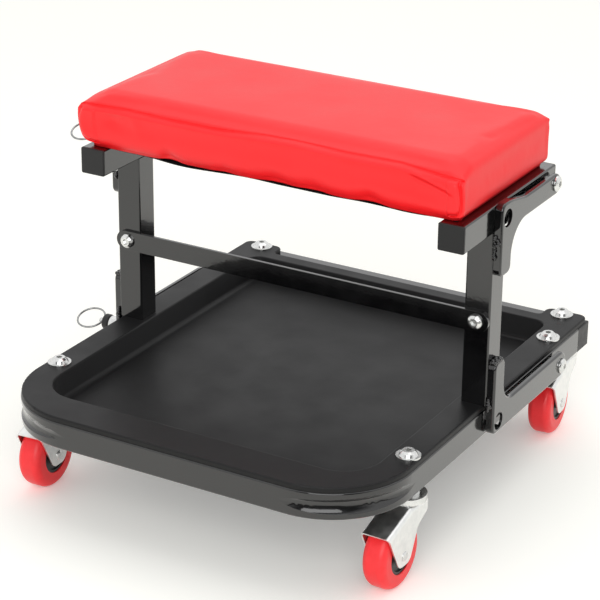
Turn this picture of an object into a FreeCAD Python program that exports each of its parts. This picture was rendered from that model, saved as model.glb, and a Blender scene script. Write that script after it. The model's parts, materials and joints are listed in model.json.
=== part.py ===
import FreeCAD, Part
import math
import os
import Sketcher

# Rolling creeper seat: a tube frame with a tool tray on four casters, a folding
# C-shaped seat frame on two pivots, and a padded seat that tilts on two more.
# X is across the seat, Y runs from front to back, Z is up from the floor.
# The origin is on the floor, at the middle of the tube frame.

# Driving sizes, in millimetres and degrees
SIZES = {
    # square tube of the frame, the uprights and the seat beams
    "tube_side": 25.0,
    "tube_wall": 1.2,
    "tube_round": 1.6,
    # base frame
    "frame_width": 388.0,
    "frame_length": 451.0,
    "bend_radius": 78.0,
    "crimp_depth": 3.6,
    "crimp_round": 9.0,
    "crimp_turn": 89.0,
    # tool tray
    "tray_inset": 1.0,
    "rim_thickness": 5.0,
    "rim_round": 1.6,
    "tray_wall": 3.0,
    "side_rim_past_rail": 3.0,
    "front_rim_past_rail": 14.0,
    "rear_rim": 15.0,
    "basin_depth": 21.7,
    "basin_draft": 16.0,
    "basin_front_corner": 36.0,
    "basin_rear_corner": 13.0,
    "basin_floor_round": 5.0,
    "rim_lap_on_cross_tube": 5.0,
    "ear_width": 42.0,
    "ear_round": 8.0,
    # domed nuts and bolts on the tray
    "dome_flange_radius": 11.0,
    "dome_flange_thickness": 1.6,
    "dome_radius": 8.6,
    "dome_height": 6.0,
    "dome_socket": 5.0,
    "dome_socket_depth": 3.5,
    "sleeve_radius": 5.6,
    "sleeve_length": 20.0,
    "bolt_radius": 4.0,
    "tray_bolt_ahead_of_rear": 69.4,
    "nut_across": 13.0,
    "nut_height": 6.5,
    # casters
    "front_caster_back": 95.4,
    "rear_caster_in": 23.6,
    "wheel_radius": 31.75,
    "tyre_width": 23.0,
    "tyre_round": 7.0,
    "hub_radius": 17.5,
    "hub_inset": 0.9,
    "hub_dish": 1.6,
    "hub_boss_radius": 6.5,
    "axle_radius": 3.0,
    "rivet_radius": 4.6,
    "rivet_height": 1.3,
    "caster_trail": 27.0,
    "fork_sheet": 1.6,
    "fork_side_gap": 1.4,
    "fork_over_wheel": 8.5,
    "fork_top_radius": 16.0,
    "fork_round": 4.4,
    "fork_corner": 6.4,
    "fork_rear_drop": 9.4,
    "leg_bend_drop": 20.2,
    "leg_bend_back": 4.8,
    "skirt_past_axle": 27.0,
    "skirt_drop": 13.0,
    "leg_end_radius": 9.0,
    "race_radius": 17.5,
    "race_sheet": 2.0,
    "race_lip": 1.5,
    "race_boss_radius": 11.0,
    "race_boss_height": 3.7,
    "ball_radius": 2.0,
    "ball_to_lip": 1.5,
    "kingpin_head_radius": 8.0,
    "kingpin_head_height": 2.0,
    "front_left_swing": 2.0,
    "front_right_swing": -2.0,
    "rear_left_swing": 9.0,
    "rear_right_swing": 5.0,
    # uprights, cross bar and brackets
    "upright_past_frame": 2.0,
    "upright_length": 164.3,
    "cross_bar_rise": 80.8,
    "cross_bar_width": 19.0,
    "cross_bar_thickness": 3.0,
    "cross_bolt_head_radius": 7.0,
    "cross_bolt_head_height": 4.2,
    "bracket_depth": 7.3,
    "bracket_sheet": 2.6,
    "bracket_round": 2.0,
    "bracket_behind_front": 1.5,
    "bracket_corner": 7.0,
    "bracket_end_flat": 0.5,
    "lower_inner_round": 20.0,
    "lower_leg_rise": 42.0,
    "lower_bracket_lift": 1.3,
    "lower_arm_below_rim": 3.7,
    "lower_leg_width": 20.0,
    "upper_inner_round": 28.0,
    "upper_leg_drop": 40.5,
    "upper_arm_lift": 1.5,
    "upper_arm_below_beam_top": 4.0,
    "upper_leg_width": 21.5,
    "upper_ear_past_beam": 2.0,
    "upper_ear_length": 18.0,
    "upper_ear_slope_length": 30.0,
    "upper_ear_blend": 60.0,
    "arm_flange_setback": 2.8,
    "arm_overhang": 10.5,
    "lower_pivot_ahead_of_rear": 85.5,
    "lower_arm": 137.0,
    "upper_arm": 100.5,
    # pivots
    "pivot_radius": 5.0,
    "pivot_head_radius": 7.2,
    "pivot_head_height": 3.4,
    "pivot_thread_radius": 4.0,
    "washer_radius": 5.7,
    # spring plungers
    "lock_hole_past_neck": 0.95,
    "rail_lock_radius": 5.0,
    "lock_pin_radius": 4.5,
    "pin_tip_radius": 3.6,
    "collar_height": 2.0,
    "spring_room": 0.65,
    "plunger_neck_length": 9.7,
    "plunger_shell": 1.2,
    "plunger_flange_lap": 1.75,
    "plunger_flange_height": 2.0,
    "knob_radius": 7.8,
    "knob_bore_radius": 3.2,
    "knob_length": 8.0,
    "knob_round": 2.0,
    "plunger_travel": 6.5,
    "pin_tail_radius": 2.6,
    "pin_tail_length": 5.4,
    "spring_wire": 0.9,
    "spring_turns": 4.0,
    "ring_radius": 13.8,
    "ring_wire_radius": 1.0,
    "ring_hole_radius": 1.5,
    "ring_tilt": 20.0,
    # seat
    "beam_inside_upright": 0.5,
    "beam_past_pivot": 13.0,
    "beam_length": 181.4,
    "plug_cap": 2.2,
    "plug_depth": 4.5,
    "cover_thickness": 0.8,
    "cover_margin": 9.0,
    "board_thickness": 11.0,
    "board_margin": 8.0,
    "board_corner": 14.0,
    "cushion_behind_beam_front": 2.4,
    "cushion_inside_beam": 2.5,
    "cushion_depth": 177.0,
    "cushion_side_height": 42.5,
    "cushion_crown": 6.5,
    "cushion_draw": 3.0,
    "cushion_bulge": 2.5,
    "cushion_corner": 12.0,
    "cushion_clearance": 1.2,
    "seat_bolt_past_beam_side": 7.5,
    "seat_bolt_radius": 3.0,
    "seat_bolt_head_radius": 5.5,
    "seat_bolt_head_height": 3.5,
    # clearances
    "running_gap": 0.05,
    "hole_gap": 0.3,
    "rest_gap": 0.3,
    "overrun": 40.0,
}

doc = FreeCAD.newDocument("creeper_seat")
sheet = doc.addObject("Spreadsheet::Sheet", "Sizes")
for row, (name, number) in enumerate(SIZES.items(), start=1):
    sheet.set(f"A{row}", name)
    sheet.set(f"B{row}", str(number))
    sheet.setAlias(f"B{row}", name)
doc.recompute()


class Size:
    """A number together with the sheet formula that it comes from."""

    def __init__(self, value, formula):
        self.value = float(value)
        self.formula = formula

    def join(self, sign, other, value):
        text = other.formula if isinstance(other, Size) else repr(float(other))
        return Size(value, f"({self.formula} {sign} {text})")

    def __add__(self, other):
        return self.join("+", other, self.value + plain(other))

    def __sub__(self, other):
        return self.join("-", other, self.value - plain(other))

    def __mul__(self, other):
        return self.join("*", other, self.value * plain(other))

    def __truediv__(self, other):
        return self.join("/", other, self.value / plain(other))

    def __neg__(self):
        return Size(-self.value, f"(-{self.formula})")


class SheetSizes:
    """Gives each named cell of the sheet as a Size."""

    def __getattr__(self, name):
        return Size(SIZES[name], f"Sizes.{name}")


def plain(amount):
    return amount.value if isinstance(amount, Size) else float(amount)


def size_of(amount):
    return amount if isinstance(amount, Size) else Size(amount, repr(float(amount)))


def tangent(angle):
    return Size(math.tan(math.radians(angle.value)), f"tan({angle.formula} * 1 deg)")


def cosine(angle):
    return Size(math.cos(math.radians(angle.value)), f"cos({angle.formula} * 1 deg)")


def sine(angle):
    return Size(math.sin(math.radians(angle.value)), f"sin({angle.formula} * 1 deg)")


s = SheetSizes()
nothing = Size(0.0, "0")


# Shared heights and places, worked out from the driving sizes: across
half_width = s.frame_width / 2
rail_centre_out = half_width - s.tube_side / 2
rear_caster_out = half_width - s.rear_caster_in
upright_out = half_width + s.upright_past_frame
upright_x = upright_out - s.tube_side / 2
beam_out = upright_out - s.beam_inside_upright
beam_x = beam_out - s.tube_side / 2
seat_bolt_out = beam_out - s.tube_side + s.seat_bolt_past_beam_side
bracket_face = upright_out + s.bracket_depth
plate_inside = bracket_face - s.bracket_sheet
cross_tube_half = half_width - s.plug_cap

# Heights
fork_top = s.wheel_radius * 2 + s.fork_over_wheel
race_under = fork_top + s.ball_radius * 2
race_top = race_under + s.race_sheet
frame_underside = race_top + s.race_boss_height
rail_middle = frame_underside + s.tube_side / 2
rail_top = frame_underside + s.tube_side
rim_top = rail_top + s.rim_thickness
cross_bar_height = rim_top + s.cross_bar_rise
beam_under = rim_top + s.upright_length
beam_middle = beam_under + s.tube_side / 2
beam_top = beam_under + s.tube_side
board_under = beam_top + s.cover_thickness
board_top = board_under + s.board_thickness

# From front to back
front = -(s.frame_length / 2)
rear = s.frame_length / 2
cross_tube_y = rear - s.tube_side / 2
front_caster_y = front + s.front_caster_back
tray_bolt_y = rear - s.tray_bolt_ahead_of_rear
lower_pivot_y = rear - s.lower_pivot_ahead_of_rear
upright_y = lower_pivot_y - s.lower_arm
upright_front = upright_y - s.tube_side / 2
bracket_front = upright_front + s.bracket_behind_front
lower_leg_back = bracket_front + s.lower_leg_width
upper_leg_back = bracket_front + s.upper_leg_width
upper_pivot_y = upright_y + s.upper_arm
beam_rear = upper_pivot_y + s.beam_past_pivot
beam_front = beam_rear - s.beam_length
cushion_y = beam_front + s.cushion_behind_beam_front + s.cushion_depth / 2
cushion_half_width = beam_out - s.cushion_inside_beam

# Bores of the spring plungers, from the pin out
slide_bore = s.lock_pin_radius + s.running_gap
spring_bore = slide_bore + s.spring_wire + s.spring_room
plunger_neck_radius = spring_bore + s.plunger_shell
lock_hole_radius = plunger_neck_radius + s.lock_hole_past_neck


# Small tools for sketches and features
def set_size(thing, name, amount):
    thing.setExpression(name, size_of(amount).formula)


def place(thing, at, turn=None):
    """Puts a body at three sizes, turned by a fixed rotation."""
    spot = [size_of(amount) for amount in at]
    base = FreeCAD.Vector(*[amount.value for amount in spot])
    thing.Placement = FreeCAD.Placement(base, turn or FreeCAD.Rotation())
    for axis, amount in zip("xyz", spot):
        if amount.formula != "0":
            thing.setExpression(f"Placement.Base.{axis}", amount.formula)


def new_body(label, at=(nothing, nothing, nothing), turn=None):
    body = doc.addObject("PartDesign::Body", "Body")
    body.Label = label
    place(body, at, turn)
    return body


def sketch_on(body, plane, lift=nothing):
    """A sketch on one of the body's own planes, lifted along its normal."""
    sketch = body.newObject("Sketcher::SketchObject", "Sketch")
    face = next(item for item in body.Origin.OriginFeatures if item.Role == plane)
    sketch.AttachmentSupport = [(face, "")]
    sketch.MapMode = "FlatFace"
    offset = FreeCAD.Vector(0, 0, lift.value)
    sketch.AttachmentOffset = FreeCAD.Placement(offset, FreeCAD.Rotation())
    if lift.formula != "0":
        sketch.setExpression("AttachmentOffset.Base.z", lift.formula)
    return sketch


def fix_point(sketch, geometry, point, across, along):
    """Ties one point of a sketch to two sizes from the sketch's origin."""
    for kind, amount in (("DistanceX", across), ("DistanceY", along)):
        link = Sketcher.Constraint(kind, -1, 1, geometry, point, plain(amount))
        index = sketch.addConstraint(link)
        if isinstance(amount, Size) and amount.formula != "0":
            sketch.setExpression(f"Constraints[{index}]", amount.formula)


def corner_arc(before, corner, after, radius):
    """The arc that rounds a corner: where it starts and ends, and its centre."""
    way_in = (before - corner).normalize()
    way_out = (after - corner).normalize()
    half = way_in.getAngle(way_out) / 2
    start = corner + way_in * (radius / math.tan(half))
    end = corner + way_out * (radius / math.tan(half))
    centre = corner + (way_in + way_out).normalize() * (radius / math.sin(half))
    return start, end, centre


def leftward_arc(start, end, centre):
    """An arc from one point to the other, turning left about its centre."""
    first, second = start - centre, end - centre
    begin = math.atan2(first.y, first.x)
    finish = math.atan2(second.y, second.x)
    if finish < begin:
        finish += 2 * math.pi
    circle = Part.Circle(centre, FreeCAD.Vector(0, 0, 1), first.Length)
    return Part.ArcOfCircle(circle, begin, finish)


def add_outline(sketch, corners):
    """A closed outline of straight lines; a corner may give a third size, its radius."""
    spots = [FreeCAD.Vector(plain(corner[0]), plain(corner[1]), 0) for corner in corners]
    radii = [corner[2] if len(corner) > 2 else None for corner in corners]
    count = len(corners)
    starts, ends, arcs = list(spots), list(spots), {}
    for i, radius in enumerate(radii):
        if radius is not None:
            ends[i], starts[i], centre = corner_arc(
                spots[i - 1], spots[i], spots[(i + 1) % count], plain(radius))
            left = (ends[i] - centre).cross(starts[i] - centre).z > 0
            first, last = (ends[i], starts[i]) if left else (starts[i], ends[i])
            arcs[i] = (leftward_arc(first, last, centre), (1, 2) if left else (2, 1))
    lines = []
    for i in range(count):
        line = Part.LineSegment(starts[i], ends[(i + 1) % count])
        lines.append(sketch.addGeometry(line, False))
    for i, radius in enumerate(radii):
        leaving, arriving = lines[i], lines[i - 1]
        if radius is None:
            sketch.addConstraint(Sketcher.Constraint("Coincident", arriving, 2, leaving, 1))
            fix_point(sketch, leaving, 1, corners[i][0], corners[i][1])
            continue
        curve, (head, tail) = arcs[i]
        arc = sketch.addGeometry(curve, False)
        sketch.addConstraint(Sketcher.Constraint("Tangent", arriving, 2, arc, head))
        sketch.addConstraint(Sketcher.Constraint("Tangent", leaving, 1, arc, tail))
        index = sketch.addConstraint(Sketcher.Constraint("Radius", arc, plain(radius)))
        sketch.setExpression(f"Constraints[{index}]", size_of(radius).formula)
        mark = sketch.addGeometry(Part.Point(spots[i]), True)
        sketch.addConstraint(Sketcher.Constraint("PointOnObject", mark, 1, arriving))
        sketch.addConstraint(Sketcher.Constraint("PointOnObject", mark, 1, leaving))
        fix_point(sketch, mark, 1, corners[i][0], corners[i][1])


def add_circle(sketch, across, along, radius):
    middle = FreeCAD.Vector(plain(across), plain(along), 0)
    ring = Part.Circle(middle, FreeCAD.Vector(0, 0, 1), plain(radius))
    circle = sketch.addGeometry(ring, False)
    index = sketch.addConstraint(Sketcher.Constraint("Radius", circle, plain(radius)))
    sketch.setExpression(f"Constraints[{index}]", size_of(radius).formula)
    fix_point(sketch, circle, 3, across, along)


def rectangle(half_across, half_along, radius=None):
    """Four corners of a rectangle about the origin."""
    signs = ((-1, -1), (1, -1), (1, 1), (-1, 1))
    corners = [(half_across * across, half_along * along) for across, along in signs]
    return [corner + (radius,) for corner in corners] if radius is not None else corners


def hexagon(across_flats):
    """Six corners of a hexagon about the origin."""
    reach = across_flats / 2 / math.cos(math.radians(30))
    turns = [math.radians(60 * step) for step in range(6)]
    return [(reach * math.cos(turn), reach * math.sin(turn)) for turn in turns]


def add_feature(body, kind, sketch, length, both_ways=False, backwards=False, taper=None):
    feature = body.newObject(kind, kind.split("::")[1])
    feature.Profile = sketch
    if both_ways:
        feature.SideType = "Symmetric"
    feature.Reversed = backwards
    set_size(feature, "Length", length)
    if taper is not None:
        set_size(feature, "TaperAngle", taper)
    doc.recompute()
    return feature


def pad(body, sketch, length, **options):
    return add_feature(body, "PartDesign::Pad", sketch, length, **options)


def pocket(body, sketch, length, **options):
    """Cuts a sketch into a body, and stops if nothing was cut."""
    before = body.Tip.Shape.Volume
    feature = add_feature(body, "PartDesign::Pocket", sketch, length, **options)
    if not feature.Shape.Volume < before:
        raise RuntimeError(f"a pocket of {body.Label} cuts nothing")
    return feature


def revolve(body, sketch):
    feature = body.newObject("PartDesign::Revolution", "Revolution")
    feature.Profile = sketch
    feature.ReferenceAxis = (sketch, ["V_Axis"])
    feature.Angle = 360
    doc.recompute()
    return feature


def round_edges(body, radius, choose):
    """Rounds the edges of the body that a test picks out."""
    base = body.Tip
    names = [f"Edge{i}" for i, edge in enumerate(base.Shape.Edges, start=1) if choose(edge)]
    feature = body.newObject("PartDesign::Fillet", "Fillet")
    feature.Base = (base, names)
    set_size(feature, "Radius", radius)
    doc.recompute()
    return feature


def near(first, second):
    """True where two places are the same to within a thousandth."""
    return abs(first - second) < 0.001


def flat_at(edge, axis, level):
    """True for an edge that lies all along one level of an axis."""
    low, high = edge.BoundBox.getPoint(0), edge.BoundBox.getPoint(6)
    return near(getattr(low, axis), level) and near(getattr(high, axis), level)


# Rotations that lay a turned piece along another axis
UPRIGHT = FreeCAD.Rotation()
OUT_RIGHT = FreeCAD.Rotation(FreeCAD.Vector(0, 1, 0), 90)
OUT_LEFT = FreeCAD.Rotation(FreeCAD.Vector(0, 1, 0), -90)
OUT_FRONT = FreeCAD.Rotation(FreeCAD.Vector(1, 0, 0), 90)
OUT_BACK = FreeCAD.Rotation(FreeCAD.Vector(1, 0, 0), -90)


def turned(label, profile, at, turn=UPRIGHT):
    """A lathe-turned solid: corners of radius and height, about its own Z."""
    body = new_body(label, at, turn)
    sketch = sketch_on(body, "XZ_Plane")
    add_outline(sketch, profile)
    revolve(body, sketch)
    return body


def ring_profile(inner, outer, low, high):
    return [(inner, low), (outer, low), (outer, high), (inner, high)]


def hex_piece(label, across, height, bore, at, turn=UPRIGHT):
    """A hexagonal nut, or a plain hexagon where the bore is None."""
    body = new_body(label, at, turn)
    sketch = sketch_on(body, "XY_Plane")
    add_outline(sketch, hexagon(across))
    if bore is not None:
        add_circle(sketch, 0, 0, bore)
    pad(body, sketch, height)
    return body


def mirrored(thing, label=None):
    """The same piece on the other side of the seat."""
    copy = doc.addObject("Part::Mirroring", "Mirroring")
    copy.Source = thing
    copy.Normal = FreeCAD.Vector(1, 0, 0)
    copy.Label = label or thing.Label + "_other_side"
    return copy


def group(label, pieces):
    """Several separate solids under one name."""
    compound = doc.addObject("Part::Compound", "Compound")
    compound.Links = pieces
    compound.Label = label
    return compound


def both_sides(label, thing):
    return group(label, [thing, mirrored(thing)])


def fused(label, pieces):
    joined = doc.addObject("Part::MultiFuse", "Fusion")
    joined.Shapes = pieces
    joined.Label = label
    return joined


def cut(label, base, tools):
    """One solid less some others."""
    tool = tools[0] if len(tools) == 1 else fused(label + "_cutters", tools)
    result = doc.addObject("Part::Cut", "Cut")
    result.Base = base
    result.Tool = tool
    result.Label = label
    return result


def rod(label, radius, length, at, turn=UPRIGHT):
    """A plain cylinder that starts at a place and runs along its own Z."""
    cylinder = doc.addObject("Part::Cylinder", "Cylinder")
    cylinder.Label = label
    set_size(cylinder, "Radius", radius)
    set_size(cylinder, "Height", length)
    place(cylinder, at, turn)
    return cylinder


parts = {}


def keep(label, thing):
    """Notes a finished sub-part under the name of its file."""
    thing.Label = label
    parts[label] = thing
    return thing


def square_tube(label, length, at, turn=UPRIGHT):
    """A square tube with rounded corners, centred on a place along its own Z."""
    body = new_body(label, at, turn)
    sketch = sketch_on(body, "XY_Plane")
    add_outline(sketch, rectangle(s.tube_side / 2, s.tube_side / 2, s.tube_round))
    inside = s.tube_side / 2 - s.tube_wall
    add_outline(sketch, rectangle(inside, inside, s.tube_round - s.tube_wall))
    pad(body, sketch, length, both_ways=True)
    return body


# Base frame: one square tube bent into a U, closed behind by a straight tube
def u_bar(label, inset):
    """The bent bar, taken in on all sides by an inset."""
    body = new_body(label, (0, 0, rail_middle))
    sketch = sketch_on(body, "XY_Plane")
    outer_x = half_width - inset
    inner_x = half_width - s.tube_side + inset
    outer_y = front + inset
    inner_y = front + s.tube_side - inset
    end_y = rear - s.tube_side
    outer_bend = s.bend_radius - inset
    inner_bend = s.bend_radius - s.tube_side + inset
    add_outline(sketch, [
        (-outer_x, end_y), (-outer_x, outer_y, outer_bend), (outer_x, outer_y, outer_bend),
        (outer_x, end_y), (inner_x, end_y), (inner_x, inner_y, inner_bend),
        (-inner_x, inner_y, inner_bend), (-inner_x, end_y)])
    pad(body, sketch, s.tube_side - inset * 2, both_ways=True)
    half_tall = plain(s.tube_side) / 2 - plain(inset)
    rounding = s.tube_round - inset

    def long_edge(edge):
        level = flat_at(edge, "z", half_tall) or flat_at(edge, "z", -half_tall)
        return level and not flat_at(edge, "y", plain(end_y))
    round_edges(body, rounding, long_edge)
    return body


DIAGONAL = math.cos(math.radians(45))


def crimp(side, inset):
    """The rounded dent that a press leaves on the outside of a bend."""
    torus = doc.addObject("Part::Torus", "Crimp")
    shift = s.crimp_depth / (1 - DIAGONAL)
    set_size(torus, "Radius1", s.bend_radius + s.crimp_round - s.crimp_depth + shift)
    set_size(torus, "Radius2", s.crimp_round + inset)
    set_size(torus, "Angle3", s.crimp_turn)
    away = s.bend_radius + shift * DIAGONAL
    middle_way = -45 if side > 0 else -135
    turn = FreeCAD.Rotation(FreeCAD.Vector(0, 0, 1), middle_way - plain(s.crimp_turn) / 2)
    place(torus, ((half_width - away) * side, front + away, rail_middle), turn)
    return torus


def make_base_frame():
    outside = u_bar("frame_outside", nothing)
    inside = u_bar("frame_inside", s.tube_wall)
    dented = cut("frame_dented", outside, [crimp(1, nothing), crimp(-1, nothing)])
    hollow = cut("frame_hollow", inside, [crimp(1, s.tube_wall), crimp(-1, s.tube_wall)])
    below = frame_underside - s.overrun
    tall = s.overrun * 2 + s.tube_side
    drills = []
    for side in (1, -1):
        drills.append(rod("stem_drill", s.sleeve_radius + s.hole_gap, tall,
                          (rail_centre_out * side, front_caster_y, rail_middle)))
        drills.append(rod("stem_drill_low", s.bolt_radius + s.hole_gap, tall,
                          (rail_centre_out * side, front_caster_y, below)))
        drills.append(rod("tray_bolt_drill", s.bolt_radius + s.hole_gap, tall,
                          (rail_centre_out * side, tray_bolt_y, below)))
    for side, turn in ((1, OUT_RIGHT), (-1, OUT_LEFT)):
        drills.append(rod("pivot_drill", s.pivot_thread_radius + s.hole_gap, s.overrun,
                          (rail_centre_out * side, lower_pivot_y, rail_middle), turn))
        drills.append(rod("lock_drill", s.rail_lock_radius, s.overrun,
                          (rail_centre_out * side, upright_y, rail_middle), turn))
    keep("base_frame", cut("base_frame", dented, [hollow] + drills))


def make_cross_tube():
    tube = square_tube("cross_tube_plain", cross_tube_half * 2,
                       (0, cross_tube_y, rail_middle), OUT_RIGHT)
    below = frame_underside - s.overrun
    tall = s.overrun * 2 + s.tube_side
    drills = []
    for side in (1, -1):
        spot = (rear_caster_out * side, cross_tube_y)
        drills.append(rod("rear_stem_drill", s.sleeve_radius + s.hole_gap, tall,
                          spot + (rail_middle,)))
        drills.append(rod("rear_stem_drill_low", s.bolt_radius + s.hole_gap, tall,
                          spot + (below,)))
    keep("rear_cross_tube", cut("rear_cross_tube", tube, drills))


def end_plug(label, at, turn):
    """A plastic plug for the tube's open end: its cap outside, its stem inside."""
    body = new_body(label, at, turn)
    cap = sketch_on(body, "XY_Plane")
    add_outline(cap, rectangle(s.tube_side / 2, s.tube_side / 2, s.tube_round))
    pad(body, cap, s.plug_cap)
    top = plain(s.plug_cap)
    round_edges(body, s.plug_cap / 2, lambda edge: flat_at(edge, "z", top))
    stem = sketch_on(body, "XY_Plane")
    reach = s.tube_side / 2 - s.tube_wall - s.running_gap
    add_outline(stem, rectangle(reach, reach))
    pad(body, stem, s.plug_depth, backwards=True)
    corner = plain(reach)
    round_edges(body, s.tube_round - s.tube_wall,
                lambda edge: near(abs(edge.CenterOfMass.x), corner)
                and near(abs(edge.CenterOfMass.y), corner))
    return body


def make_cross_tube_plugs():
    plug = end_plug("cross_plug", (cross_tube_half, cross_tube_y, rail_middle), OUT_RIGHT)
    keep("cross_tube_plugs", both_sides("cross_tube_plugs", plug))


# Tool tray: a moulded basin with a flat rim that lies on the tubes
def make_tray():
    body = new_body("tray_plain", (0, 0, rail_top))
    edge_x = half_width - s.tray_inset
    edge_front = front + s.tray_inset
    rear_line = rear - s.tube_side + s.rim_lap_on_cross_tube
    ear_back = rear - s.tray_inset
    ear_in = edge_x - s.ear_width
    corner = s.bend_radius - s.tray_inset
    rim = sketch_on(body, "XY_Plane")
    add_outline(rim, [
        (-edge_x, edge_front, corner), (edge_x, edge_front, corner),
        (edge_x, ear_back, s.ear_round), (ear_in, ear_back, s.ear_round),
        (ear_in, rear_line, s.ear_round / 2), (-ear_in, rear_line, s.ear_round / 2),
        (-ear_in, ear_back, s.ear_round), (-edge_x, ear_back, s.ear_round)])
    pad(body, rim, s.rim_thickness)
    lip = plain(s.rim_thickness)
    round_edges(body, s.rim_round, lambda edge: flat_at(edge, "z", lip))

    basin_x = half_width - s.tube_side - s.side_rim_past_rail
    basin_front = front + s.tube_side + s.front_rim_past_rail
    basin_back = rear_line - s.rear_rim
    slope = tangent(s.basin_draft)
    take_in = slope * s.rim_thickness - s.tray_wall / cosine(s.basin_draft)
    under = sketch_on(body, "XY_Plane")
    add_outline(under, basin_outline(basin_x, basin_front, basin_back, take_in))
    under_depth = s.basin_depth - s.rim_thickness + s.tray_wall
    pad(body, under, under_depth, backwards=True, taper=-s.basin_draft)

    hollow = sketch_on(body, "XY_Plane", s.rim_thickness)
    add_outline(hollow, basin_outline(basin_x, basin_front, basin_back, nothing))
    pocket(body, hollow, s.basin_depth, taper=-s.basin_draft)
    floor = plain(s.rim_thickness) - plain(s.basin_depth)
    round_edges(body, s.basin_floor_round, lambda edge: flat_at(edge, "z", floor))
    brink = plain(s.rim_thickness)
    inner = plain(basin_x) + 0.5 * plain(s.tray_inset)
    round_edges(body, s.rim_round, lambda edge: flat_at(edge, "z", brink)
                and edge.BoundBox.XMax < inner and edge.BoundBox.XMin > -inner
                and edge.BoundBox.YMax < plain(basin_back) + 0.5 * plain(s.tray_inset)
                and edge.BoundBox.YMin > plain(basin_front) - 0.5 * plain(s.tray_inset))

    bolt_hole = s.bolt_radius + s.hole_gap
    drills = []
    for side in (1, -1):
        for across, along, radius in (
                (rail_centre_out, front_caster_y, s.sleeve_radius + s.hole_gap),
                (rail_centre_out, tray_bolt_y, bolt_hole),
                (rear_caster_out, cross_tube_y, s.sleeve_radius + s.hole_gap)):
            drills.append(rod("tray_drill", radius, s.overrun * 2,
                              (across * side, along, rail_top - s.overrun)))
    keep("tool_tray", cut("tool_tray", body, drills))


def basin_outline(half_across, near_end, far_end, take_in):
    """The basin in plan, taken in on all sides: wide corners in front, tight ones behind."""
    wide = s.basin_front_corner - take_in
    tight = s.basin_rear_corner - take_in
    return [(take_in - half_across, near_end + take_in, wide),
            (half_across - take_in, near_end + take_in, wide),
            (half_across - take_in, far_end - take_in, tight),
            (take_in - half_across, far_end - take_in, tight)]


# Domed nuts over the casters, domed bolts in the tray
# Corners of a turned head, from its rim in: share of its radius, share of its height
DOME_SHARES = ((0.85, 0.7), (0.6, 1.0))
BUTTON_SHARES = ((1.0, 0.35), (0.9, 0.65), (0.58, 1.0))
RIVET_SHARES = ((1.0, 0.4), (0.7, 1.0))


def head_corners(shares, radius, height, base=nothing):
    """The corners of a head that stands on a base height, from its rim in to its top."""
    return [(radius * across, base + height * up) for across, up in shares]


def dome_corners():
    """The flange and dome of a button head, from its rim in to its top."""
    flange = s.dome_flange_thickness
    return [(s.dome_flange_radius, nothing), (s.dome_flange_radius, flange),
            (s.dome_radius, flange)] + head_corners(DOME_SHARES, s.dome_radius, s.dome_height)


def add_socket(body, across, top, depth):
    sketch = sketch_on(body, "XY_Plane", top)
    add_outline(sketch, hexagon(across))
    pocket(body, sketch, depth)


def cap_nut(label, at):
    """A domed sleeve nut: it screws on the caster's stem from above."""
    bore = s.bolt_radius + s.running_gap
    bore_top = s.dome_flange_thickness
    body = turned(label, dome_corners() + [
        (nothing, s.dome_height), (nothing, bore_top - s.rim_thickness),
        (bore, bore_top - s.rim_thickness), (bore, -s.sleeve_length),
        (s.sleeve_radius, -s.sleeve_length), (s.sleeve_radius, nothing)], at)
    add_socket(body, s.dome_socket, s.dome_height, s.dome_socket_depth)
    return body


def make_cap_nuts():
    front_nut = cap_nut("cap_nut_front", (rail_centre_out, front_caster_y, rim_top))
    rear_nut = cap_nut("cap_nut_rear", (rear_caster_out, cross_tube_y, rim_top))
    keep("caster_cap_nuts", group("caster_cap_nuts", [
        front_nut, mirrored(front_nut), rear_nut, mirrored(rear_nut)]))


def make_tray_bolts():
    under = frame_underside
    grip = rim_top - under + s.nut_height + s.bolt_radius / 2
    bolt = turned("tray_bolt", dome_corners() + [
        (nothing, s.dome_height), (nothing, -grip), (s.bolt_radius, -grip),
        (s.bolt_radius, nothing)], (rail_centre_out, tray_bolt_y, rim_top))
    add_socket(bolt, s.dome_socket, s.dome_height, s.dome_socket_depth)
    keep("tray_bolts", both_sides("tray_bolts", bolt))
    nut = hex_piece("tray_nut", s.nut_across, s.nut_height, s.bolt_radius + s.running_gap,
                    (rail_centre_out, tray_bolt_y, under - s.nut_height))
    keep("tray_nuts", both_sides("tray_nuts", nut))


# Casters: a fixed stem and race, a swivelling fork, and a wheel on a riveted axle
fork_width = s.tyre_width + s.fork_side_gap * 2 + s.fork_sheet * 2
ball_circle = s.race_radius - s.race_lip - s.ball_to_lip - s.ball_radius
BALL_COUNT = 10
HUB_RIM_SHARE = 0.86


def caster_stem(label, at):
    """The race plate with its lip, the boss under the tube and the threaded stem."""
    stem = s.bolt_radius
    stem_top = rim_top - s.rim_thickness + s.dome_flange_thickness - s.running_gap * 2
    head_low = fork_top - s.fork_sheet - s.kingpin_head_height - s.running_gap
    head_high = fork_top - s.fork_sheet - s.running_gap
    lip = s.race_radius - s.race_lip
    lip_low = fork_top + s.rest_gap
    return turned(label, [
        (nothing, head_low), (s.kingpin_head_radius, head_low),
        (s.kingpin_head_radius, head_high), (stem, head_high), (stem, race_under),
        (lip, race_under), (lip, lip_low), (s.race_radius, lip_low),
        (s.race_radius, race_top), (s.race_boss_radius, race_top),
        (s.race_boss_radius, frame_underside), (stem, frame_underside),
        (stem, stem_top), (nothing, stem_top)], at)


def make_caster_stems():
    front_stem = caster_stem("stem_front", (rail_centre_out, front_caster_y, 0))
    rear_stem = caster_stem("stem_rear", (rear_caster_out, cross_tube_y, 0))
    keep("caster_stems", group("caster_stems", [
        front_stem, mirrored(front_stem), rear_stem, mirrored(rear_stem)]))


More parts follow.
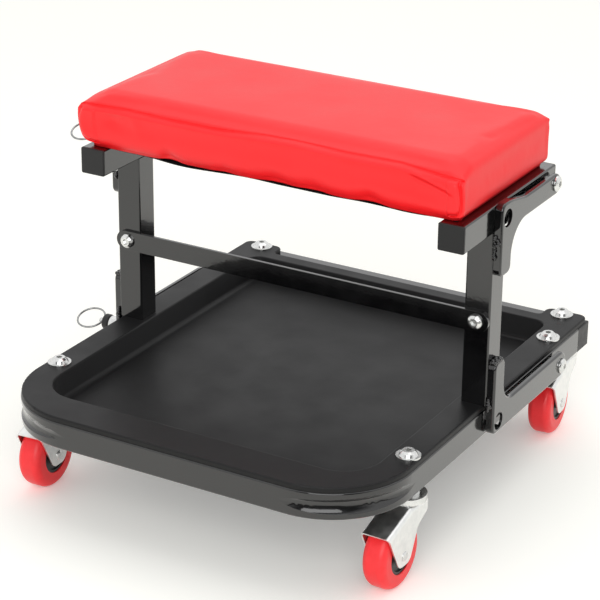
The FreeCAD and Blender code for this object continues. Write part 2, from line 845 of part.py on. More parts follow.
def caster_fork(label, at, swing):
    """The pressed fork: a round top, a sloping hood in front and two legs."""
    body = new_body(label, at)
    set_swing(body, swing)
    trail = s.caster_trail
    skirt_reach = trail + s.skirt_past_axle
    skirt_low = fork_top - s.skirt_drop
    end = s.leg_end_radius
    axle = s.wheel_radius
    side_view = sketch_on(body, "YZ_Plane")
    add_outline(side_view, [
        (s.fork_top_radius, fork_top), (-s.fork_top_radius, fork_top),
        (-skirt_reach, skirt_low),
        (-trail - end, axle - end, end), (end - trail, axle - end, end),
        (-s.leg_bend_back, fork_top - s.leg_bend_drop, end),
        (s.fork_top_radius, fork_top - s.fork_rear_drop)])
    pad(body, side_view, fork_width, both_ways=True)
    half = plain(fork_width) / 2
    reach = plain(s.fork_top_radius)
    round_edges(body, s.fork_corner, lambda edge: flat_at(edge, "y", reach)
                and near(abs(edge.CenterOfMass.x), half))

    def upper_edge(edge):
        if flat_at(edge, "z", plain(fork_top)):
            return not flat_at(edge, "y", -reach)
        middle = edge.CenterOfMass
        return (near(abs(middle.x), half) and middle.y < -reach
                and middle.z > plain(skirt_low))
    round_edges(body, s.fork_round, upper_edge)
    between = sketch_on(body, "YZ_Plane")
    sheet = s.fork_sheet
    steep = s.skirt_drop / (skirt_reach - s.fork_top_radius)
    past = s.overrun
    add_outline(between, [
        (past, fork_top - sheet), (-s.fork_top_radius, fork_top - sheet),
        (-skirt_reach - past, skirt_low - sheet - steep * past),
        (-skirt_reach - past, -past), (past, -past)])
    pocket(body, between, fork_width - sheet * 2, both_ways=True)
    inner_side = half - plain(sheet)

    def inner_edge(edge):
        middle = edge.CenterOfMass
        return (near(abs(middle.x), inner_side) and middle.z > plain(skirt_low - sheet)
                and (middle.y < -reach or flat_at(edge, "z", plain(fork_top - sheet))))
    round_edges(body, s.fork_round - sheet, inner_edge)
    stem_hole = sketch_on(body, "XY_Plane", fork_top)
    add_circle(stem_hole, 0, 0, s.bolt_radius + s.running_gap)
    pocket(body, stem_hole, sheet * 2)
    axle_hole = sketch_on(body, "YZ_Plane")
    add_circle(axle_hole, -trail, axle, s.axle_radius + s.running_gap)
    pocket(body, axle_hole, fork_width * 2, both_ways=True)
    return body


def set_swing(body, swing):
    """Turns a caster piece about the vertical line through its stem."""
    turn = FreeCAD.Rotation(FreeCAD.Vector(0, 0, 1), swing.value)
    body.Placement = FreeCAD.Placement(body.Placement.Base, turn)


def swung(across, along, swing):
    """A place in a caster's own plan, turned with the caster."""
    turn_x = across * cosine(swing) - along * sine(swing)
    turn_y = across * sine(swing) + along * cosine(swing)
    return turn_x, turn_y


def wheel_piece(label, profile, at, swing):
    """A solid turned about the axle of one caster."""
    shift_x, shift_y = swung(nothing, -s.caster_trail, swing)
    spot = (at[0] + shift_x, at[1] + shift_y, s.wheel_radius)
    spin = FreeCAD.Rotation(FreeCAD.Vector(0, 0, 1), swing.value).multiply(OUT_RIGHT)
    return turned(label, profile, spot, spin)


def make_caster(corner, at, swing):
    """Five pieces of one caster: fork, axle, hub, tyre and the ring of balls."""
    keep("caster_fork_" + corner, caster_fork("caster_fork_" + corner, at, swing))

    leg = fork_width / 2
    cap = leg + s.rivet_height
    right_head = head_corners(RIVET_SHARES, s.rivet_radius, s.rivet_height, leg)
    left_head = head_corners(RIVET_SHARES, s.rivet_radius, -s.rivet_height, -leg)
    keep("wheel_axle_" + corner, wheel_piece("wheel_axle_" + corner, [
        (nothing, -cap)] + left_head[::-1] + [
        (s.rivet_radius, -leg), (s.axle_radius, -leg), (s.axle_radius, leg),
        (s.rivet_radius, leg)] + right_head + [(nothing, cap)], at, swing))

    bore = s.axle_radius + s.running_gap
    half = s.tyre_width / 2
    face = half - s.hub_inset
    web = face - s.hub_dish
    boss_end = leg - s.fork_sheet - s.running_gap * 4
    wide = s.hub_radius
    rim_in = wide * HUB_RIM_SHARE
    keep("wheel_hub_" + corner, wheel_piece("wheel_hub_" + corner, [
        (bore, -boss_end), (s.hub_boss_radius, -boss_end), (s.hub_boss_radius, -web),
        (rim_in, -web), (rim_in, -face), (wide, -face),
        (wide, face), (rim_in, face), (rim_in, web),
        (s.hub_boss_radius, web), (s.hub_boss_radius, boss_end), (bore, boss_end)], at, swing))

    keep("tyre_" + corner, wheel_piece("tyre_" + corner, [
        (wide, -half), (s.wheel_radius, -half, s.tyre_round), (s.wheel_radius, half, s.tyre_round),
        (wide, half)], at, swing))

    balls = []
    ball_height = fork_top + s.ball_radius
    for step in range(BALL_COUNT):
        turn = math.radians(360 / BALL_COUNT * step)
        ball = doc.addObject("Part::Sphere", "Ball")
        ball.Label = f"ball_{corner}_{step}"
        set_size(ball, "Radius", s.ball_radius - s.running_gap)
        place(ball, (at[0] + ball_circle * math.cos(turn),
                     at[1] + ball_circle * math.sin(turn), ball_height))
        balls.append(ball)
    keep("swivel_balls_" + corner, group("swivel_balls_" + corner, balls))


def make_casters():
    make_caster("front_left", (-rail_centre_out, front_caster_y, 0), s.front_left_swing)
    make_caster("front_right", (rail_centre_out, front_caster_y, 0), s.front_right_swing)
    make_caster("rear_left", (-rear_caster_out, cross_tube_y, 0), s.rear_left_swing)
    make_caster("rear_right", (rear_caster_out, cross_tube_y, 0), s.rear_right_swing)


# Folding frame: two uprights, the flat bar across them and four pressed brackets
def make_uprights():
    middle = rim_top + s.upright_length / 2
    for label, side in (("upright_right", 1), ("upright_left", -1)):
        tube = square_tube(label + "_plain", s.upright_length, (upright_x * side, upright_y, middle))
        drill = rod(label + "_drill", s.bolt_radius + s.hole_gap, s.overrun * 2,
                    (upright_x * side, upright_y + s.overrun, cross_bar_height), OUT_FRONT)
        keep(label, cut(label, tube, [drill]))


def make_cross_bar():
    body = new_body("cross_bar", (0, upright_front, cross_bar_height))
    sketch = sketch_on(body, "XZ_Plane")
    add_outline(sketch, rectangle(upright_out, s.cross_bar_width / 2,
                                  s.cross_bar_width / 2 - s.running_gap))
    for side in (1, -1):
        add_circle(sketch, upright_x * side, 0, s.bolt_radius + s.hole_gap)
    pad(body, sketch, s.cross_bar_thickness)
    keep("cross_bar", body)

    head = s.cross_bolt_head_radius
    tall = s.cross_bolt_head_height
    grip = s.cross_bar_thickness + s.tube_side + s.nut_height + s.bolt_radius / 2
    bolt = turned("cross_bolt", [
        (nothing, -grip), (s.bolt_radius, -grip), (s.bolt_radius, nothing), (head, nothing)]
        + head_corners(BUTTON_SHARES, head, tall) + [(nothing, tall)],
        (upright_x, upright_front - s.cross_bar_thickness, cross_bar_height), OUT_FRONT)
    add_socket(bolt, s.dome_socket, tall, tall / 2)
    keep("cross_bar_bolts", both_sides("cross_bar_bolts", bolt))
    nut = hex_piece("cross_nut", s.nut_across, s.nut_height, s.bolt_radius + s.running_gap,
                    (upright_x, upright_front + s.tube_side, cross_bar_height), OUT_BACK)
    keep("cross_bar_nuts", both_sides("cross_bar_nuts", nut))


def bracket(label, outline_at, lock_z, leg_back, pivot_y):
    """A dished plate: its rim is bent in to the tube, less far along the arm."""
    body = new_body(label, (upright_out, 0, 0))
    whole = sketch_on(body, "YZ_Plane")
    add_outline(whole, outline_at(nothing))
    pad(body, whole, s.bracket_depth)
    face = plain(s.bracket_depth)
    round_edges(body, s.bracket_round, lambda edge: flat_at(edge, "x", face))
    inside = sketch_on(body, "YZ_Plane", s.bracket_depth - s.bracket_sheet)
    add_outline(inside, outline_at(s.bracket_sheet))
    pocket(body, inside, s.overrun)
    set_back = sketch_on(body, "YZ_Plane", s.arm_flange_setback)
    past, above, below = pivot_y + s.overrun, lock_z + s.overrun * 2, lock_z - s.overrun * 2
    add_outline(set_back, [(leg_back, below), (past, below), (past, above), (leg_back, above)])
    pocket(body, set_back, s.overrun)
    holes = sketch_on(body, "YZ_Plane", s.bracket_depth)
    add_circle(holes, upright_y, lock_z, lock_hole_radius)
    add_circle(holes, pivot_y, lock_z, s.pivot_radius + s.running_gap)
    pocket(body, holes, s.bracket_sheet * 2)
    return body


def lower_outline(inset):
    """Side view of the lower bracket, taken in by an inset."""
    face_y = bracket_front + inset
    leg_y = lower_leg_back - inset
    end_y = lower_pivot_y + s.arm_overhang - inset
    low = frame_underside + s.lower_bracket_lift + inset
    arm = rim_top - s.lower_arm_below_rim - inset
    high = rim_top + s.lower_leg_rise - inset
    small = s.bracket_corner - inset
    end_round = (arm - low - s.bracket_end_flat) / 2
    return [(face_y, low, small), (end_y, low, end_round), (end_y, arm, end_round),
            (leg_y, arm, s.lower_inner_round + inset), (leg_y, high, small),
            (face_y, high, small)]


def upper_outline(inset):
    """Side view of the upper bracket, taken in by an inset."""
    face_y = bracket_front + inset
    leg_y = upper_leg_back - inset
    end_y = upper_pivot_y + s.arm_overhang - inset
    low = beam_under - s.upper_leg_drop + inset
    arm = beam_under + s.upper_arm_lift + inset
    high = beam_top - s.upper_arm_below_beam_top - inset
    ear = beam_top + s.upper_ear_past_beam - inset
    ear_back = bracket_front + s.upper_ear_length
    slope_end = ear_back + s.upper_ear_slope_length
    small = s.bracket_corner - inset
    end_round = (high - arm - s.bracket_end_flat) / 2
    return [(face_y, low, small), (leg_y, low, small),
            (leg_y, arm, s.upper_inner_round + inset), (end_y, arm, end_round),
            (end_y, high, end_round), (slope_end, high, s.upper_ear_blend + inset),
            (ear_back, ear, s.upper_ear_blend - inset), (face_y, ear, small)]


def make_brackets():
    lower = bracket("lower_bracket_right", lower_outline, rail_middle, lower_leg_back,
                    lower_pivot_y)
    upper = bracket("upper_bracket_right", upper_outline, beam_middle, upper_leg_back,
                    upper_pivot_y)
    keep("lower_bracket_right", lower)
    keep("lower_bracket_left", mirrored(lower))
    keep("upper_bracket_right", upper)
    keep("upper_bracket_left", mirrored(upper))


# Pivots: a shoulder bolt through each bracket arm, with a spacer and a nut
def pivot_set(name, tube_out, at_y, at_z):
    """Bolts, spacers and nuts of the two pivots at one height."""
    outside = bracket_face + s.rest_gap
    shoulder = plate_inside - s.rest_gap - outside
    nut_out = tube_out - s.tube_wall
    grip = nut_out - outside - s.nut_height - s.bolt_radius / 2
    head = s.pivot_head_radius
    tall = s.pivot_head_height
    bolt = turned(name + "_pivot_bolt", [
        (nothing, grip), (s.pivot_thread_radius, grip), (s.pivot_thread_radius, shoulder),
        (s.pivot_radius, shoulder), (s.pivot_radius, nothing), (head, nothing)]
        + head_corners(BUTTON_SHARES, head, tall) + [(nothing, tall)],
        (outside, at_y, at_z), OUT_RIGHT)
    add_socket(bolt, s.dome_socket, tall, tall / 2)
    keep(name + "_pivot_bolts", both_sides(name + "_pivot_bolts", bolt))
    spacer_length = plate_inside - s.rest_gap - tube_out
    spacer = turned(name + "_pivot_spacer", ring_profile(
        s.pivot_thread_radius + s.running_gap, s.washer_radius, nothing, spacer_length),
        (tube_out, at_y, at_z), OUT_RIGHT)
    keep(name + "_pivot_spacers", both_sides(name + "_pivot_spacers", spacer))
    nut = hex_piece(name + "_pivot_nut", s.nut_across, s.nut_height,
                    s.pivot_thread_radius + s.running_gap, (nut_out, at_y, at_z), OUT_LEFT)
    keep(name + "_pivot_nuts", both_sides(name + "_pivot_nuts", nut))


# Spring plungers on the left: sleeve, pin with its knob, spring and pull ring
plunger_reach = bracket_face + s.plunger_flange_height + s.plunger_neck_length
knob_start = plunger_reach + s.rest_gap
tail_start = knob_start + s.knob_length
ring_hole_out = tail_start + s.pin_tail_length / 2


def coil_wire(radius, wire, rise, turns, start):
    """A helical spring along Z, swept on quarter-turn arcs."""
    def spot(quarters):
        turn = math.radians(90 * quarters)
        return FreeCAD.Vector(radius * math.cos(turn), radius * math.sin(turn),
                              start + rise * quarters / 4)
    edges = []
    for quarter in range(int(round(turns * 4))):
        arc = Part.Arc(spot(quarter), spot(quarter + 0.5), spot(quarter + 1))
        edges.append(arc.toShape())
    path = Part.Wire(edges)
    tangent_way = edges[0].tangentAt(edges[0].FirstParameter)
    section = Part.Wire([Part.Circle(spot(0), tangent_way, wire / 2).toShape()])
    return path.makePipeShell([section], True, False)


def make_plunger(level, at_z, tube_out):
    """The plunger at one height; its pin stops just short of the tube it faces."""
    at = (-bracket_face, upright_y, at_z)
    top = s.plunger_flange_height + s.plunger_neck_length
    cap = top - s.plunger_shell
    low = s.rest_gap - s.bracket_depth
    body_radius = lock_hole_radius - s.running_gap
    flange = lock_hole_radius + s.plunger_flange_lap
    keep("plunger_sleeve_" + level, turned("plunger_sleeve_" + level, [
        (spring_bore, low), (body_radius, low), (body_radius, nothing), (flange, nothing),
        (flange, s.plunger_flange_height), (plunger_neck_radius, s.plunger_flange_height),
        (plunger_neck_radius, top), (slide_bore, top), (slide_bore, cap),
        (spring_bore, cap)], at, OUT_LEFT))

    pin_radius = s.lock_pin_radius
    tip = tube_out - bracket_face + s.rest_gap
    collar = spring_bore - s.running_gap * 2
    collar_high = low + s.collar_height
    pin_top = knob_start - bracket_face
    tail = tail_start - bracket_face
    end = tail + s.pin_tail_length
    pin = turned("plunger_pin_plain_" + level, [
        (nothing, tip), (s.pin_tip_radius, tip), (pin_radius, low), (collar, low),
        (collar, collar_high), (pin_radius, collar_high), (pin_radius, pin_top),
        (s.knob_bore_radius, pin_top), (s.knob_bore_radius, tail), (s.pin_tail_radius, tail),
        (s.pin_tail_radius, end), (nothing, end)], at, OUT_LEFT)
    lean = FreeCAD.Rotation(FreeCAD.Vector(1, 0, 0), plain(s.ring_tilt) - 90)
    hole = rod("ring_hole_" + level, s.ring_hole_radius, s.overrun,
               (-ring_hole_out, upright_y - s.overrun / 2 * cosine(s.ring_tilt),
                at_z - s.overrun / 2 * sine(s.ring_tilt)), lean)
    keep("plunger_pin_" + level, cut("plunger_pin_" + level, pin, [hole]))

    keep("plunger_knob_" + level, turned("plunger_knob_" + level, [
        (s.knob_bore_radius, pin_top), (s.knob_radius, pin_top, s.knob_round),
        (s.knob_radius, tail, s.knob_round), (s.knob_bore_radius, tail)], at, OUT_LEFT))

    wire = plain(s.spring_wire)
    radius = (plain(slide_bore) + plain(spring_bore)) / 2
    seat = plain(cap) - wire / 2 - plain(s.running_gap)
    pulled = plain(collar_high) + plain(s.plunger_travel) + wire
    spring = doc.addObject("Part::Feature", "Spring")
    spring.Shape = coil_wire(radius, wire, (seat - pulled) / plain(s.spring_turns),
                             plain(s.spring_turns), pulled)
    place(spring, at, OUT_LEFT)
    keep("plunger_spring_" + level, spring)

    ring = doc.addObject("Part::Torus", "Ring")
    set_size(ring, "Radius1", s.ring_radius)
    set_size(ring, "Radius2", s.ring_wire_radius)
    flat = FreeCAD.Rotation(FreeCAD.Vector(1, 0, 0), plain(s.ring_tilt))
    place(ring, (-ring_hole_out - s.ring_radius, upright_y, at_z), flat)
    keep("pull_ring_" + level, ring)


# Seat: two beams, a board and a padded cushion
def make_beams():
    middle_y = beam_rear - s.beam_length / 2
    for label, side in (("seat_beam_right", 1), ("seat_beam_left", -1)):
        tube = square_tube(label + "_plain", s.beam_length,
                           (beam_x * side, middle_y, beam_middle), OUT_FRONT)
        turn = OUT_RIGHT if side > 0 else OUT_LEFT
        drills = [
            rod(label + "_pivot_drill", s.pivot_thread_radius + s.hole_gap, s.overrun,
                (beam_x * side, upper_pivot_y, beam_middle), turn),
            rod(label + "_lock_drill", s.rail_lock_radius, s.overrun,
                (beam_x * side, upright_y, beam_middle), turn)]
        for along in seat_bolt_places():
            drills.append(rod(label + "_bolt_drill", seat_bolt_hole, s.overrun * 2,
                              (seat_bolt_out * side, along, beam_middle - s.overrun)))
        keep(label, cut(label, tube, drills))


# How far the seat bolts are from the cushion's middle, as a share of its depth
SEAT_BOLT_SHARES = (-0.39, 0.262)


def seat_bolt_places():
    return [cushion_y + s.cushion_depth * share for share in SEAT_BOLT_SHARES]


def make_beam_plugs():
    front_plug = end_plug("beam_plug_front", (beam_x, beam_front, beam_middle), OUT_FRONT)
    rear_plug = end_plug("beam_plug_rear", (beam_x, beam_rear, beam_middle), OUT_BACK)
    keep("beam_plugs", group("beam_plugs", [
        front_plug, mirrored(front_plug), rear_plug, mirrored(rear_plug)]))


seat_bolt_hole = s.seat_bolt_radius + s.hole_gap


def seat_sheet(label, margin, corner, low, thickness):
    """A flat rounded sheet under the cushion, drilled for the seat bolts."""
    body = new_body(label, (0, cushion_y, low))
    sketch = sketch_on(body, "XY_Plane")
    add_outline(sketch, rectangle(cushion_half_width - margin, s.cushion_depth / 2 - margin,
                                  corner))
    for side in (1, -1):
        for along in seat_bolt_places():
            add_circle(sketch, seat_bolt_out * side, along - cushion_y, seat_bolt_hole)
    pad(body, sketch, thickness)
    return body


def make_seat_base():
    keep("dust_cover", seat_sheet("dust_cover", s.cover_margin, s.board_corner,
                                  beam_top, s.cover_thickness))
    keep("seat_board", seat_sheet("seat_board", s.board_margin, s.board_corner,
                                  board_under, s.board_thickness))
    bolts = []
    radius, tall = s.seat_bolt_head_radius, s.seat_bolt_head_height
    grip = board_top - s.rest_gap - beam_under
    for along in seat_bolt_places():
        bolt = turned("seat_bolt", [
            (nothing, grip), (s.seat_bolt_radius, grip), (s.seat_bolt_radius, nothing),
            (radius, nothing)] + head_corners(BUTTON_SHARES, radius, -tall) + [
            (nothing, -tall)], (seat_bolt_out, along, beam_under))
        bolts += [bolt, mirrored(bolt)]
    keep("seat_bolts", group("seat_bolts", bolts))


def pillow_wire(half_x, half_y, corner, bulge, height):
    """A rounded rectangle whose sides bow outwards a little."""
    def spot(across, along):
        return FreeCAD.Vector(across, along, height)
    edges = []
    flat_x, flat_y = half_x - corner, half_y - corner
    slant = corner * (1 - DIAGONAL)
    sides = (
        (spot(-flat_x, -half_y), spot(0, -half_y - bulge), spot(flat_x, -half_y),
         spot(half_x - slant, -half_y + slant), spot(half_x, -flat_y)),
        (spot(half_x, -flat_y), spot(half_x + bulge, 0), spot(half_x, flat_y),
         spot(half_x - slant, half_y - slant), spot(flat_x, half_y)),
        (spot(flat_x, half_y), spot(0, half_y + bulge), spot(-flat_x, half_y),
         spot(-half_x + slant, half_y - slant), spot(-half_x, flat_y)),
        (spot(-half_x, flat_y), spot(-half_x - bulge, 0), spot(-half_x, -flat_y),
         spot(-half_x + slant, -half_y + slant), spot(-flat_x, -half_y)))
    for begin, bowed, finish, turn_middle, turn_end in sides:
        edges.append(Part.Arc(begin, bowed, finish).toShape())
        edges.append(Part.Arc(finish, turn_middle, turn_end).toShape())
    return Part.Wire(edges)


# The cushion's levels: share of the side height, share of the draw, share of the bulge
CUSHION_SIDE_SHARES = ((0.0, 1.0, 0.3), (0.08, 0.7, 0.5), (0.2, 0.35, 0.8), (0.36, 0.1, 1.0),
                       (0.55, 0.0, 1.0), (0.75, 0.1, 1.0), (0.87, 0.4, 0.9), (0.95, 0.85, 0.8))
# The crown's levels: share of the crown height, and share of the half depth taken in
CUSHION_CROWN_SHARES = ((0.0, 0.055), (0.25, 0.09), (0.45, 0.14), (0.63, 0.2), (0.78, 0.29),
                        (0.9, 0.42), (1.0, 0.62))


# How much rounder the crown's corners get as they come in
CROWN_CORNER_SHARE = 0.2


def make_cushion():
    half_x = plain(cushion_half_width) - plain(s.cushion_bulge)
    half_y = plain(s.cushion_depth) / 2 - plain(s.cushion_bulge)
    corner = plain(s.cushion_corner)
    draw = plain(s.cushion_draw)
    bulge = plain(s.cushion_bulge)
    low = plain(beam_top) + plain(s.cushion_clearance)
    tall = plain(s.cushion_side_height)
    crown = plain(s.cushion_crown)
    levels = []
    for up_share, draw_share, bulge_share in CUSHION_SIDE_SHARES:
        levels.append(pillow_wire(half_x - draw * draw_share, half_y - draw * draw_share,
                                  corner, bulge * bulge_share, low + tall * up_share))
    for up_share, in_share in CUSHION_CROWN_SHARES:
        taken = half_y * in_share
        levels.append(pillow_wire(half_x - taken, half_y - taken,
                                  corner + taken * CROWN_CORNER_SHARE,
                                  bulge, low + tall + crown * up_share))
    solid = doc.addObject("Part::Feature", "CushionForm")
    solid.Label = "cushion_form"
    solid.Shape = Part.makeLoft(levels, True, True)
    place(solid, (0, cushion_y, 0))
    room = new_body("cushion_room", (0, cushion_y, board_under - s.overrun))
    sketch = sketch_on(room, "XY_Plane")
    inside = s.board_margin
    add_outline(sketch, rectangle(cushion_half_width - inside, s.cushion_depth / 2 - inside,
                                  s.board_corner))
    pad(room, sketch, s.board_thickness + s.overrun)
    keep("cushion", cut("cushion", solid, [room]))


make_base_frame()
make_cross_tube()
make_cross_tube_plugs()
make_tray()
make_cap_nuts()
make_tray_bolts()
make_caster_stems()
make_casters()
make_uprights()
make_cross_bar()
make_brackets()
pivot_set("lower", half_width, lower_pivot_y, rail_middle)
pivot_set("upper", beam_out, upper_pivot_y, beam_middle)
make_plunger("lower", rail_middle, half_width)
make_plunger("upper", beam_middle, beam_out)
make_beams()
make_beam_plugs()
make_seat_base()
make_cushion()
doc.recompute()

faults = [thing.Label for thing in doc.Objects
          if "Invalid" in thing.State or "Error" in thing.State]
for label, thing in parts.items():
    if thing.Shape.isNull() or not thing.Shape.isValid():
        faults.append(label)
if faults:
    raise RuntimeError("these objects failed: " + ", ".join(faults))

os.makedirs("parts", exist_ok=True)
for label, thing in parts.items():
    thing.Shape.exportStep(f"parts/{label}.step")
print(len(parts), "sub-parts written")
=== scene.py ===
import json
import math

import bmesh
import bpy
from mathutils import Matrix, Vector


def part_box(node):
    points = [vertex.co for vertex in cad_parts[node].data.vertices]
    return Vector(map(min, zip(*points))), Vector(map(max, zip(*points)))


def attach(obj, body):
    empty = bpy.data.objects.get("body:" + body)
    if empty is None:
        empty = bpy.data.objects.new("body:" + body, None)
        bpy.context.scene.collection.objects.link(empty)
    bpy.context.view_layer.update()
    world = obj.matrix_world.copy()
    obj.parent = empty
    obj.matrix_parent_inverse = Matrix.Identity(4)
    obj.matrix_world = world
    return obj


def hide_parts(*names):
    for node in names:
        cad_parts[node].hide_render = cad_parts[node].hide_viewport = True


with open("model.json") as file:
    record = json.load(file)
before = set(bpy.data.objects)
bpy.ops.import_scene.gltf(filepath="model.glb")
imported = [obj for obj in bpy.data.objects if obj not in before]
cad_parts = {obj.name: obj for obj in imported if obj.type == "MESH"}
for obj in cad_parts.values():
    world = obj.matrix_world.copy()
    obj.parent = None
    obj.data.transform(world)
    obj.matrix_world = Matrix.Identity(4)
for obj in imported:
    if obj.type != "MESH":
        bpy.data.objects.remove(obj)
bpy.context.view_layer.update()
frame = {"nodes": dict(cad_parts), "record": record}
scene = bpy.context.scene
MM = 0.001


# Small helpers that every section uses

def colour(code):
    """The linear colour of an sRGB hex code."""
    parts = [int(code[i:i + 2], 16) / 255 for i in (1, 3, 5)]
    return (*[p / 12.92 if p <= 0.04045 else ((p + 0.055) / 1.055) ** 2.4 for p in parts], 1.0)


def add(tree, kind, settings=None, links=None):
    """Adds a shader node, sets its inputs or properties by name and links its inputs."""
    node = tree.nodes.new("ShaderNode" + kind)
    for name, value in (settings or {}).items():
        if isinstance(name, int) or name in node.inputs:
            node.inputs[name].default_value = value
        else:
            setattr(node, name, value)
    for name, source in (links or {}).items():
        tree.links.new(source, node.inputs[name])
    return node


def smoothstep(edge, far, value):
    """0 at edge and 1 at far, with a soft start and end."""
    t = min(max((value - edge) / (far - edge), 0.0), 1.0)
    return t * t * (3 - 2 * t)


# The camera stands where the photograph was taken: in front, to the right and above

LENS = 133.46
SENSOR = 36.0
CAMERA_PLACE = Vector((0.94061, -1.63400, 0.97535))
CAMERA_RIGHT = Vector((0.864497, 0.502560, 0.008896))
CAMERA_BACK = Vector((0.458926, -0.796410, 0.393850))


def make_camera():
    """The camera of the photograph, with everything in focus and colours as they are."""
    scene.view_settings.view_transform = "Standard"
    data = bpy.data.cameras.new("camera")
    data.lens = LENS
    data.sensor_width = SENSOR
    data.dof.use_dof = False
    camera = bpy.data.objects.new("camera", data)
    scene.collection.objects.link(camera)
    axes = Matrix((CAMERA_RIGHT, CAMERA_BACK.cross(CAMERA_RIGHT), CAMERA_BACK)).transposed()
    camera.matrix_world = Matrix.Translation(CAMERA_PLACE) @ axes.to_4x4()
    scene.camera = camera


# The studio: a white surround with an unlit end, two large soft lamps and a paper floor.
# DARK_EDGE and DARK_MIDDLE are cosines from DARK_SIDE, the way to the unlit end. PAPER_END is
# how far that way the paper goes in reflections, and PAPER_FADE how soon it darkens, in metres

SKY_LEVEL = 0.68
DARK_SIDE = (0.49, -0.82, 0.3)
DARK_LEVEL = 0.12
DARK_EDGE = 0.62
DARK_MIDDLE = 0.86
LAMP_AIM = Vector((0, 0, 0.2))
FLOOR_SIDE = 12.0
PAPER_WHITE = (0.96, 0.955, 0.9, 1)
PAPER_GLOW = 0.2
PAPER_END = 0.66
PAPER_FADE = 0.12


def hang_lamp(name, place, side, power):
    """A square soft lamp that faces the middle of the seat."""
    data = bpy.data.lights.new(name, "AREA")
    data.size = side
    data.energy = power
    lamp = bpy.data.objects.new(name, data)
    lamp.location = place
    lamp.rotation_euler = (Vector(place) - LAMP_AIM).to_track_quat("Z", "Y").to_euler()
    scene.collection.objects.link(lamp)


def either(tree, one, other):
    """1 where one of two ray tests holds."""
    return add(tree, "Math", {"operation": "MAXIMUM"}, {0: one, 1: other}).outputs[0]


def dimmed(tree, way, edge, far):
    """A level that falls from 1 to DARK_LEVEL as way goes from edge to far towards DARK_SIDE."""
    ahead = add(tree, "VectorMath", {"operation": "DOT_PRODUCT", 1: DARK_SIDE},
                {0: way}).outputs["Value"]
    made = add(tree, "MapRange", {"From Min": edge, "From Max": far, "To Min": 1.0,
                                  "To Max": DARK_LEVEL}, {"Value": ahead})
    return made.outputs[0]


def make_light():
    """White light from all round but the unlit end of the room, and two soft lamps."""
    world = bpy.data.worlds.new("studio")
    world.use_nodes = True
    scene.world = world
    tree = world.node_tree
    ray = add(tree, "LightPath").outputs
    seen = either(tree, ray["Is Camera Ray"], ray["Is Glossy Ray"])
    seen = either(tree, seen, ray["Is Transmission Ray"])
    way = add(tree, "TexCoord").outputs["Generated"]
    shown = dimmed(tree, way, DARK_EDGE, DARK_MIDDLE)
    level = add(tree, "MapRange", {"To Min": SKY_LEVEL}, {"Value": seen, "To Max": shown})
    background = tree.nodes["Background"]
    background.inputs["Color"].default_value = (1, 1, 1, 1)
    tree.links.new(level.outputs[0], background.inputs["Strength"])
    hang_lamp("top_lamp", place=(0.0, 0.4, 2.3), side=2.4, power=12.0)
    hang_lamp("front_lamp", place=(1.0, -2.2, 1.3), side=1.8, power=30.0)


def make_floor():
    """A large flat floor that takes the shadow."""
    bpy.ops.mesh.primitive_plane_add(size=FLOOR_SIDE)
    floor = bpy.context.object
    floor.name = "floor"
    floor.data.materials.append(white_paper())


# Finishes

def start(name, edge=0.0):
    """A new material: its tree, its shader, the place in metres and a normal softened at edges."""
    made = bpy.data.materials.new(name)
    made.use_nodes = True
    tree = made.node_tree
    place = add(tree, "TexCoord").outputs["Object"]
    normal = None
    if edge:
        normal = add(tree, "Bevel", {"samples": 4, "Radius": edge}).outputs["Normal"]
    return made, tree, tree.nodes["Principled BSDF"], place, normal


def cloud(tree, place, size, detail=3.0):
    """Soft patches of that size in metres, from 0 to 1."""
    made = add(tree, "TexNoise", {"Scale": 1 / size, "Detail": detail}, {"Vector": place})
    return made.outputs["Fac"]


def span(tree, value, low, high):
    """Turns a value about 0.5 into one from low to high."""
    made = add(tree, "MapRange", {"From Min": 0.3, "From Max": 0.7, "To Min": low,
                                  "To Max": high}, {"Value": value})
    return made.outputs[0]


def tint(tree, value, low, high):
    """Turns a value about 0.5 into a colour between two sRGB codes."""
    share = span(tree, value, 0.0, 1.0)
    made = add(tree, "MixRGB", {"Color1": colour(low), "Color2": colour(high)}, {"Fac": share})
    return made.outputs["Color"]


def bump(tree, height, depth, normal=None):
    """A surface relief of that depth in metres."""
    links = {"Height": height}
    if normal:
        links["Normal"] = normal
    return add(tree, "Bump", {"Distance": depth}, links).outputs["Normal"]


def wire(tree, shader, **sources):
    """Links sources to the shader's sockets; an underscore in a name stands for a space."""
    for name, source in sources.items():
        tree.links.new(source, shader.inputs[name.replace("_", " ")])


def fill(shader, settings):
    """Sets constants on the shader's own sockets."""
    for name, value in settings.items():
        shader.inputs[name].default_value = value


def gloss_enamel():
    """Black stoved enamel: a hard wet shine with a faint orange peel."""
    made, tree, shader, place, normal = start("gloss_enamel", 0.5 * MM)
    patches = cloud(tree, place, 18 * MM)
    peel = cloud(tree, place, 2.6 * MM, 1.0)
    relief = bump(tree, peel, 0.02 * MM, normal)
    wire(tree, shader, Base_Color=tint(tree, patches, "#040405", "#09090a"),
         Roughness=span(tree, patches, 0.14, 0.22), Normal=relief, Coat_Normal=relief,
         Coat_Roughness=span(tree, patches, 0.03, 0.08))
    fill(shader, {"Coat Weight": 1.0, "Coat IOR": 1.6, "Specular IOR Level": 0.2})
    return made


def satin_plastic():
    """Black moulded plastic with a fine spark-eroded grain and a low sheen."""
    made, tree, shader, place, normal = start("satin_plastic", 0.6 * MM)
    patches = cloud(tree, place, 40 * MM)
    grain = add(tree, "TexVoronoi", {"Scale": 1 / (0.9 * MM)}, {"Vector": place}).outputs[0]
    wire(tree, shader, Base_Color=tint(tree, patches, "#0d0d0e", "#121213"),
         Roughness=span(tree, patches, 0.42, 0.52),
         Normal=bump(tree, grain, 0.035 * MM, normal))
    fill(shader, {"Specular IOR Level": 0.3})
    return made


